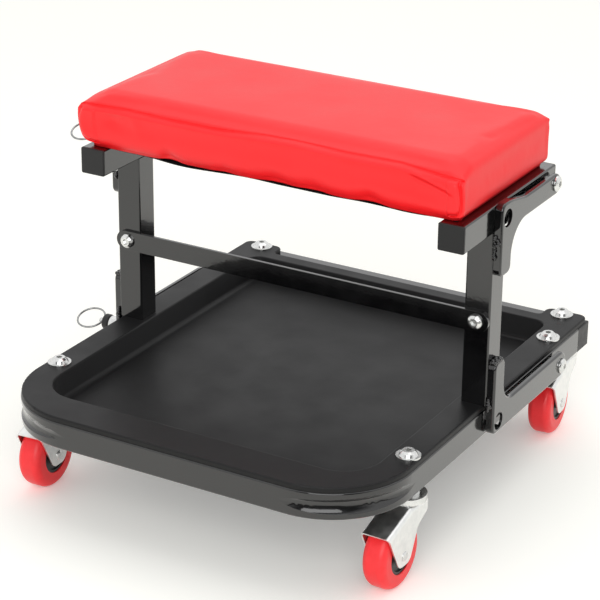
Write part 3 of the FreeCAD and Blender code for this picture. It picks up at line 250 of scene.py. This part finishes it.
def plug_plastic():
    """Plain black polyethylene for end plugs: soft shine, slightly waxy."""
    made, tree, shader, place, normal = start("plug_plastic", 0.4 * MM)
    patches = cloud(tree, place, 6 * MM)
    wire(tree, shader, Base_Color=tint(tree, patches, "#101011", "#161617"),
         Roughness=span(tree, patches, 0.38, 0.5),
         Normal=bump(tree, cloud(tree, place, 0.8 * MM), 0.02 * MM, normal))
    return made


def hub_plastic():
    """Dark grey-green wheel centre plastic with flow marks round the hub."""
    made, tree, shader, place, normal = start("hub_plastic", 0.3 * MM)
    patches = cloud(tree, place, 9 * MM)
    wire(tree, shader, Base_Color=tint(tree, patches, "#14181a", "#1d2322"),
         Roughness=span(tree, patches, 0.3, 0.42),
         Normal=bump(tree, cloud(tree, place, 1.2 * MM), 0.02 * MM, normal))
    return made


def red_tread():
    """Red polyurethane tread: a smooth satin skin, a little deeper in its patches."""
    made, tree, shader, place, normal = start("red_tread", 0.3 * MM)
    patches = cloud(tree, place, 7 * MM)
    wire(tree, shader, Base_Color=tint(tree, patches, "#f3262c", "#fa3036"),
         Roughness=span(tree, patches, 0.34, 0.44),
         Normal=bump(tree, cloud(tree, place, 0.7 * MM), 0.015 * MM, normal))
    fill(shader, {"Subsurface Weight": 0.08, "Subsurface Radius": (0.004, 0.001, 0.001),
                  "Subsurface Scale": 1.0})
    return made


def red_vinyl():
    """Red upholstery vinyl: fine pebble grain under a soft, even shine."""
    made, tree, shader, place, _ = start("red_vinyl")
    patches = cloud(tree, place, 60 * MM)
    pebble = add(tree, "TexVoronoi", {"Scale": 1 / (0.85 * MM), "feature": "SMOOTH_F1"},
                 {"Vector": place}).outputs[0]
    relief = bump(tree, pebble, 0.05 * MM)
    relief = bump(tree, cloud(tree, place, 9 * MM), 0.12 * MM, relief)
    wire(tree, shader, Base_Color=tint(tree, patches, "#f8161c", "#fb1e24"),
         Roughness=span(tree, patches, 0.38, 0.46), Normal=relief)
    return made


def dust_cloth():
    """Black non-woven cloth: matt, with a mat of short fibres."""
    made, tree, shader, place, _ = start("dust_cloth")
    fibres = add(tree, "TexNoise", {"Scale": 1 / (0.5 * MM), "Detail": 5.0, "Distortion": 1.5},
                 {"Vector": place}).outputs["Fac"]
    wire(tree, shader, Base_Color=tint(tree, fibres, "#0c0c0d", "#1a1a1c"),
         Normal=bump(tree, fibres, 0.1 * MM))
    fill(shader, {"Roughness": 0.95, "Specular IOR Level": 0.15})
    return made


def plywood():
    """Birch plywood: pale streaks along the board."""
    made, tree, shader, place, _ = start("plywood")
    stretched = add(tree, "Mapping", {"Scale": (4, 60, 60)}, {"Vector": place}).outputs[0]
    streaks = add(tree, "TexNoise", {"Scale": 6.0, "Detail": 6.0},
                  {"Vector": stretched}).outputs["Fac"]
    wire(tree, shader, Base_Color=tint(tree, streaks, "#a8824f", "#caa777"),
         Normal=bump(tree, streaks, 0.1 * MM))
    fill(shader, {"Roughness": 0.7})
    return made


def bright_zinc():
    """Bright zinc plate on turned steel: a mirror that is slightly clouded in patches."""
    made, tree, shader, place, normal = start("bright_zinc", 0.3 * MM)
    patches = cloud(tree, place, 5 * MM)
    wire(tree, shader, Base_Color=tint(tree, patches, "#d2d3d2", "#e6e6e4"),
         Roughness=span(tree, patches, 0.19, 0.28),
         Normal=bump(tree, cloud(tree, place, 1.5 * MM), 0.004 * MM, normal))
    fill(shader, {"Metallic": 1.0})
    return made


def pressed_zinc():
    """Zinc plate on the pressed forks: a cloudy shine, drawn out a little by the press."""
    made, tree, shader, place, normal = start("pressed_zinc", 0.5 * MM)
    patches = cloud(tree, place, 6 * MM)
    drawn = add(tree, "Mapping", {"Scale": (1.0, 1.0, 0.25)}, {"Vector": place}).outputs[0]
    wire(tree, shader, Base_Color=tint(tree, patches, "#e2e3e2", "#f0f0ee"),
         Roughness=span(tree, patches, 0.3, 0.4),
         Normal=bump(tree, cloud(tree, drawn, 1.2 * MM), 0.006 * MM, normal))
    fill(shader, {"Metallic": 1.0})
    return made


def bright_wire():
    """Drawn and plated steel wire: smooth and bright."""
    made, tree, shader, place, _ = start("bright_wire")
    patches = cloud(tree, place, 3 * MM)
    wire(tree, shader, Base_Color=tint(tree, patches, "#8d8e8e", "#adaeae"),
         Roughness=span(tree, patches, 0.15, 0.26),
         Normal=bump(tree, cloud(tree, place, 0.6 * MM), 0.006 * MM))
    fill(shader, {"Metallic": 1.0})
    return made


def white_paper():
    """Matt white paper with a slight glow, darkened in reflections past its end."""
    made, tree, shader, place, _ = start("matt_white_floor")
    shown = dimmed(tree, place, PAPER_END, PAPER_END + PAPER_FADE)
    ray = add(tree, "LightPath").outputs
    share = add(tree, "MapRange", {"To Min": 1.0},
                {"Value": ray["Is Glossy Ray"], "To Max": shown}).outputs[0]
    white = add(tree, "MixRGB", {"Color1": (0, 0, 0, 1), "Color2": PAPER_WHITE}, {"Fac": share})
    seen = either(tree, ray["Is Camera Ray"], ray["Is Glossy Ray"])
    lit = add(tree, "Math", {"operation": "MULTIPLY"}, {0: seen, 1: share}).outputs[0]
    glow = add(tree, "Math", {"operation": "MULTIPLY", 1: PAPER_GLOW}, {0: lit}).outputs[0]
    wire(tree, shader, Base_Color=white.outputs[0], Emission_Strength=glow)
    fill(shader, {"Roughness": 1.0, "Specular IOR Level": 0.0, "Emission Color": (1, 1, 1, 1)})
    return made


def finish_nodes():
    """Gives each carried-over node the finish of its material slot."""
    finishes = {"frame_paint": gloss_enamel(), "tray_plastic": satin_plastic(),
                "black_plastic": plug_plastic(), "hub_plastic": hub_plastic(),
                "red_tread": red_tread(), "red_vinyl": red_vinyl(),
                "dust_cloth": dust_cloth(), "board_wood": plywood(),
                "zinc_plate": bright_zinc(), "spring_steel": bright_wire()}
    forks = pressed_zinc()
    for part in frame["record"]["subparts"]:
        node = frame["nodes"][part["node"]]
        node.data.materials.clear()
        is_fork = part["node"].startswith("caster_fork")
        node.data.materials.append(forks if is_fork else finishes[part["material_slot"]])
    return finishes


# The cushion's form: a rounded block that swells, held near its underside

CUSHION_CORNER = 8 * MM
CUSHION_BROW = 7.5 * MM
CUSHION_DRAW = 0.5 * MM
CUSHION_VOXEL = 4 * MM
HELD_HEIGHT = 6 * MM
SWELL_PRESSURE = 4.0
SWELL_FRAMES = 20
SWELL_SHARE = 0.4
SWELL_CAP = 2.5 * MM
SWELL_FLATNESS = (0.85, 0.98)

# How far the cover's points are moved, over which band in from a side, and from which
# height above the floor; pairs are where a move starts and where it is full

FRONT_DEPTH = 12 * MM
FRONT_FACING = (0.25, 0.6)
UPRIGHT_FACING = (0.5, 0.9)
FRONT_DROP = 4.5 * MM
FRONT_DROP_BAND = 24 * MM
END_DROP = 2.5 * MM
END_DROP_BAND = 18 * MM
DROP_HEIGHTS = (332 * MM, 350 * MM)
LEFT_BULGE = 10.5 * MM
BELLY_REACH = 1.05
BELLY_POWER = 0.7
RIGHT_DRAW = 2.5 * MM
END_BAND = 30 * MM
CORNER_PUSH = 2.3 * MM
PUSH_HEIGHTS = (349 * MM, 336 * MM)
CORNER_REACH = 16 * MM
CORNER_FINE = 9 * MM
UNDERSIDE = 1.5 * MM
RIM_FOOT = 301.25 * MM
RIM_WIDTH = 7.6 * MM
BOARD_TOP = 313.2 * MM
HEM_HEIGHT = 16 * MM
HEM_DEPTH = 8 * MM
HEM_FACING = (0.1, 0.5)

# Drawn along the front in mm: the crease by points across and up, the roll by depths below the
# crease, the split fold by rises of (up, height, out), the dimples by (across, width, up,
# height, out) and the hem by (across, width, rise)

CREASE = ((-193, 341), (-150, 342.5), (-100, 341.5), (-50, 341.5), (0, 344.3), (28, 345),
          (75, 343.3), (130, 343.8), (150, 342.3), (180, 339.8), (193, 338.8))
CREASE_WIDTH = 1.1
CREASE_IN = 2.0
ROLL_START = 0.2
ROLL_FULL = 4.6
ROLL_FADE = 10
ROLL_OUT = 2.4
FOLD_START = 145
FOLD_LENGTH = 33
FOLD_FALL = 10
FOLD_NEAR_END = (-0.3, 0.3)
FOLD_FAR_END = (1.2, 0.8)
FOLD_RISES = ((339, 2.2, 1.3), (335, 1.7, -1.1))
DIMPLES = ((-162, 10, 331, 7, -2.0), (-137, 6, 331, 8, 1.3))
HEM_RISES = ((-103, 9, 3.2), (8, 16, 2.6), (45, 14, 2.2), (101, 12, 3.4), (-45, 10, 1.2))
TUCK_UP = 309
TUCK_HEIGHT = 7
TUCK_SHARE = 0.35
RIPPLE_UP = 312
RIPPLE_HEIGHT = 9
RIPPLE_OUT = 0.25

# The dark pleat at each upright corner and the stitched lip beside it; plain numbers are in mm

PLEAT_HEIGHTS = (343 * MM, 336 * MM)
PLEAT_FOOT = (-2 * MM, 3 * MM)
PLEAT_PLACE = 2.2 * MM
PLEAT_LEAN = 1.2
PLEAT_WIDTH = 0.9
PLEAT_IN = 3.6
LIP_PLACE = 2.4
LIP_WIDTH = 1.4
LIP_OUT = 1.5


def edges_where(obj, test):
    """In edit mode, selects only the edges whose two ends pass the test."""
    made = bmesh.from_edit_mesh(obj.data)
    for part in (made.verts, made.edges, made.faces):
        for one in part:
            one.select = False
    for edge in made.edges:
        if test(*[v.co for v in edge.verts]):
            edge.select = True
    made.select_flush_mode()
    bmesh.update_edit_mesh(obj.data)


def hump(value, width):
    """1 at zero, falling softly to nothing at a few widths."""
    return math.exp(-(value / width) ** 2)


def height_at(line, place):
    """The height of a drawn line, given as points across and up, at a place across."""
    for (left, low), (right, high) in zip(line, line[1:]):
        if place <= right:
            share = max((place - left) / (right - left), 0.0)
            return low + (high - low) * share
    return line[-1][1]


def swell(obj, pinned_below):
    """Blows the form up a little as cloth over foam, with its underside held."""
    held = obj.vertex_groups.new(name="held")
    held.add([v.index for v in obj.data.vertices if v.co.z < pinned_below], 1.0, "REPLACE")
    start_places = [v.co.copy() for v in obj.data.vertices]
    outward = [v.normal.copy() for v in obj.data.vertices]
    cloth = obj.modifiers.new("cloth", "CLOTH")
    cloth.settings.vertex_group_mass = "held"
    cloth.settings.use_pressure = True
    cloth.settings.uniform_pressure_force = SWELL_PRESSURE
    cloth.settings.effector_weights.gravity = 0.0
    for number in range(1, SWELL_FRAMES + 1):
        scene.frame_set(number)
    seen = obj.evaluated_get(bpy.context.evaluated_depsgraph_get())
    ended = [v.co.copy() for v in seen.data.vertices]
    obj.modifiers.remove(cloth)
    scene.frame_set(1)
    for vertex, before, after, way in zip(obj.data.vertices, start_places, ended, outward):
        out = min(max((after - before).dot(way) * SWELL_SHARE, 0.0), SWELL_CAP)
        flatness = smoothstep(*SWELL_FLATNESS, max(abs(part) for part in way))
        vertex.co = before + way * out * flatness


def tuck_front(place):
    """Outward moves of the front: a crease and a roll below it, a fold, dimples and tucks."""
    x, z = place.x / MM, place.z / MM
    below = height_at(CREASE, x) - z
    roll = ROLL_OUT * smoothstep(ROLL_START, ROLL_FULL, below)
    out = roll * math.exp(-max(below - ROLL_FULL, 0) / ROLL_FADE)
    out -= CREASE_IN * hump(below, CREASE_WIDTH)
    along = (x - FOLD_START) / FOLD_LENGTH
    fade = smoothstep(*FOLD_NEAR_END, along) * smoothstep(*FOLD_FAR_END, along)
    out += fade * sum(rise * hump(z - up + FOLD_FALL * along, height)
                      for up, height, rise in FOLD_RISES)
    for across, width, up, height, rise in DIMPLES:
        out += rise * hump(x - across, width) * hump(z - up, height)
    for across, width, rise in HEM_RISES:
        out -= TUCK_SHARE * rise * hump(x - across, width) * hump(z - TUCK_UP, TUCK_HEIGHT)
    ripple = RIPPLE_OUT * math.sin(x / 11 + 1.3 * math.sin(x / 31))
    out += ripple * hump(z - RIPPLE_UP, RIPPLE_HEIGHT)
    return out * MM


def fold_corner(past, z, low):
    """Outward moves round an upright corner: a stitched lip with a dark pleat beside it."""
    fade = smoothstep(*PLEAT_HEIGHTS, z) * smoothstep(*PLEAT_FOOT, z - low)
    lean = PLEAT_LEAN * math.sin((z / MM - 303) / 12)
    past = past / MM - lean
    lip = LIP_OUT * hump(past + LIP_PLACE, LIP_WIDTH)
    return fade * (lip - PLEAT_IN * hump(past, PLEAT_WIDTH)) * MM


def dress(cushion, low, high):
    """Moves the swelled cover's points to the folds, the hem and the recess for the board."""
    centre = (low + high) / 2
    half = (high - low) / 2
    for vertex, way in [(v, v.normal.copy()) for v in cushion.data.vertices]:
        place = vertex.co.copy()
        flat = Vector((way.x, way.y, 0))
        upright = smoothstep(*UPRIGHT_FACING, flat.length)
        side = half.x - abs(place.x - centre.x)
        face = half.y - abs(place.y - centre.y)
        high_up = smoothstep(*DROP_HEIGHTS, place.z)
        if place.y < centre.y:
            place.z -= FRONT_DROP * smoothstep(FRONT_DROP_BAND, 0, face) * high_up
        place.z -= END_DROP * smoothstep(END_DROP_BAND, 0, side) * high_up
        rise = min(max((place.z - low.z) / (high.z - low.z), 0.0), 1.0)
        belly = math.sin(math.pi * min(rise * BELLY_REACH, 1.0)) ** BELLY_POWER
        if place.x < 0:
            near = smoothstep(-half.x + END_BAND, -half.x, place.x - centre.x)
            place.x -= LEFT_BULGE * belly * near
        else:
            place.x -= RIGHT_DRAW * smoothstep(half.x - END_BAND, half.x, place.x - centre.x)
        if way.y < 0 and place.y < low.y + FRONT_DEPTH:
            place.y -= tuck_front(place) * smoothstep(*FRONT_FACING, -way.y)
        if upright > 0:
            flat.normalize()
            pushed = CORNER_PUSH * upright * smoothstep(*PUSH_HEIGHTS, place.z)
            place += flat * 2 * abs(flat.x * flat.y) * pushed
            if max(side, face) < CORNER_REACH:
                place += flat * fold_corner(face - PLEAT_PLACE, place.z, low.z) * upright
        if vertex.co.z < low.z + UNDERSIDE:
            inner = min(half.x - RIM_WIDTH - abs(vertex.co.x - centre.x),
                        half.y - RIM_WIDTH - abs(vertex.co.y - centre.y))
            place.z = BOARD_TOP if inner > 0 else RIM_FOOT
        if place.y < low.y + HEM_DEPTH and place.z < low.z + HEM_HEIGHT:
            hem = smoothstep(low.z + HEM_HEIGHT, low.z, place.z)
            hem *= smoothstep(*HEM_FACING, -way.y)
            for across, width, lift in HEM_RISES:
                place.z += lift * MM * hump(place.x / MM - across, width) * hem
        vertex.co = place


def make_cushion(finish):
    """The vinyl cover over its foam: flat-topped, with a rolled brow, pleats and a loose hem."""
    low, high = [Vector(corner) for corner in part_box("cushion")]
    size = high - low - 2 * CUSHION_DRAW * Vector((1, 1, 0.5))
    middle = (high + low) / 2 - Vector((0, 0, CUSHION_DRAW / 2))
    bpy.ops.mesh.primitive_cube_add(size=1, location=middle)
    cushion = bpy.context.object
    cushion.name = "cushion_cover"
    cushion.scale = size
    bpy.ops.object.transform_apply(location=True, rotation=True, scale=True)
    top = middle.z + size.z / 2
    bpy.ops.object.mode_set(mode="EDIT")
    edges_where(cushion, lambda a, b: abs(a.z - b.z) > 10 * MM)
    bpy.ops.mesh.bevel(offset=CUSHION_CORNER, segments=4)
    edges_where(cushion, lambda a, b: abs(a.z - top) + abs(b.z - top) < MM)
    bpy.ops.mesh.bevel(offset=CUSHION_BROW, segments=5)
    bpy.ops.object.mode_set(mode="OBJECT")
    cushion.data.remesh_voxel_size = CUSHION_VOXEL
    bpy.ops.object.voxel_remesh()
    swell(cushion, low.z + HELD_HEIGHT)
    bpy.ops.object.modifier_add(type="SMOOTH")
    cushion.modifiers[0].iterations = 2
    bpy.ops.object.modifier_apply(modifier=cushion.modifiers[0].name)
    bpy.ops.object.modifier_add(type="SUBSURF")
    cushion.modifiers[0].levels = 1
    bpy.ops.object.modifier_apply(modifier=cushion.modifiers[0].name)
    bpy.ops.object.mode_set(mode="EDIT")
    edges_where(cushion, lambda a, b: max(a.y, b.y) < low.y + FRONT_DEPTH
                or min(high.x - abs(a.x), high.x - abs(b.x)) < CORNER_FINE
                and min(high.y - a.y, high.y - b.y) < CORNER_FINE)
    bpy.ops.mesh.subdivide(number_cuts=1, smoothness=1.0)
    bpy.ops.object.mode_set(mode="OBJECT")
    dress(cushion, low, high)
    bpy.ops.object.shade_smooth()
    cushion.data.materials.append(finish)
    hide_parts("cushion")
    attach(cushion, "seat")


# The dust cover. HELD_FROM is over a beam and SLACK_TO between the beams, in mm from the
# middle. The sags are (across, width, depth) in mm, full at the front edge and less further in

CLOTH_THICKNESS = 0.3 * MM
CLOTH_LIFT = 0.1 * MM
CLOTH_TURN = 4 * MM
HELD_FROM = 169
SLACK_TO = 150
EDGE_WIDTH = 14
INNER_SHARE = 0.35
EVEN_SAG = 0.15
SAGS = ((-85, 34, 2.6), (45, 40, 0.9), (140, 20, 1.0))
WAVE_DEPTH = 0.2


def make_dust_cover(finish):
    """The black cloth under the board, stapled over the beams and slack between them."""
    low, high = [Vector(corner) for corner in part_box("dust_cover")]
    low.y -= CLOTH_TURN
    middle = (low + high) / 2
    bpy.ops.mesh.primitive_grid_add(x_subdivisions=124, y_subdivisions=56, size=1,
                                    location=(middle.x, middle.y, low.z + CLOTH_LIFT))
    cover = bpy.context.object
    cover.name = "dust_cover_cloth"
    cover.scale = (high.x - low.x, high.y - low.y, 1)
    bpy.ops.object.transform_apply(location=True, rotation=True, scale=True)
    for vertex in cover.data.vertices:
        x, y = vertex.co.x / MM, vertex.co.y / MM
        free = smoothstep(HELD_FROM, SLACK_TO, abs(x))
        edge = INNER_SHARE + (1 - INNER_SHARE) * hump(y - low.y / MM, EDGE_WIDTH)
        sag = EVEN_SAG + sum(depth * hump(x - across, width) for across, width, depth in SAGS)
        wave = WAVE_DEPTH * math.sin(x / 9 + y / 23) * math.sin(y / 17 + 1.0)
        vertex.co.z -= (sag * edge + wave) * free * MM
    bpy.ops.object.modifier_add(type="SOLIDIFY")
    cover.modifiers[0].thickness = CLOTH_THICKNESS
    cover.modifiers[0].offset = 1.0
    bpy.ops.object.modifier_apply(modifier=cover.modifiers[0].name)
    bpy.ops.object.shade_smooth()
    cover.data.materials.append(finish)
    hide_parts("dust_cover")
    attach(cover, "seat")


# The painted welds that hold the brackets on the uprights: the place and the radius in mm of
# each puddle of a bead on the right

WELD_VOXEL = 0.45 * MM
LEG_TOP_WELD = [(197.6 + 1.9 * i, -6.2 + 3.2 * j, 153.2 + 0.4 * ((i + j) % 2), 1.9)
                for j in range(5) for i in range(3)]
FLANGE_FOOT_WELD = [(197.6, -9.4, 108.0, 1.8), (198.0, -9.8, 110.6, 2.0),
                    (198.6, -9.8, 113.2, 2.2), (198.2, -9.5, 116.0, 1.8),
                    (200.0, -9.2, 111.6, 1.6), (198.0, -9.3, 118.4, 1.4)]
EAR_WELD = [(197.0 + 0.5 * math.sin(1.9 * i), -9.0 + 0.4 * math.cos(2.3 * i), 252.5 + 1.9 * i,
             1.5 + 0.3 * math.sin(1.3 * i)) for i in range(12)]
EAR_WELD += [(199.4, -9.2, 266.0, 1.9), (201.0, -9.0, 268.2, 1.6), (199.6, -9.0, 270.6, 1.5)]


def make_weld(name, puddles, side, finish):
    """A weld bead: a run of small overlapping puddles, melted into one and painted."""
    made = []
    for x, y, z, radius in puddles:
        bpy.ops.mesh.primitive_uv_sphere_add(segments=14, ring_count=8, radius=radius * MM,
                                             location=(side * x * MM, y * MM, z * MM))
        made.append(bpy.context.object)
    for one in made:
        one.select_set(True)
    bpy.ops.object.join()
    bead = bpy.context.object
    bpy.ops.object.transform_apply(location=True, rotation=True, scale=True)
    bead.data.remesh_voxel_size = WELD_VOXEL
    bpy.ops.object.voxel_remesh()
    bpy.ops.object.shade_smooth()
    bead.name = name
    bead.data.materials.append(finish)
    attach(bead, "c_frame")


def make_welds(finish):
    """The three beads on each side."""
    for word, side in (("right", 1), ("left", -1)):
        make_weld("leg_top_weld_" + word, LEG_TOP_WELD, side, finish)
        make_weld("flange_foot_weld_" + word, FLANGE_FOOT_WELD, side, finish)
        make_weld("ear_weld_" + word, EAR_WELD, side, finish)


make_camera()
make_light()
make_floor()
finishes = finish_nodes()
make_cushion(finishes["red_vinyl"])
make_dust_cover(finishes["dust_cloth"])
make_welds(finishes["frame_paint"])
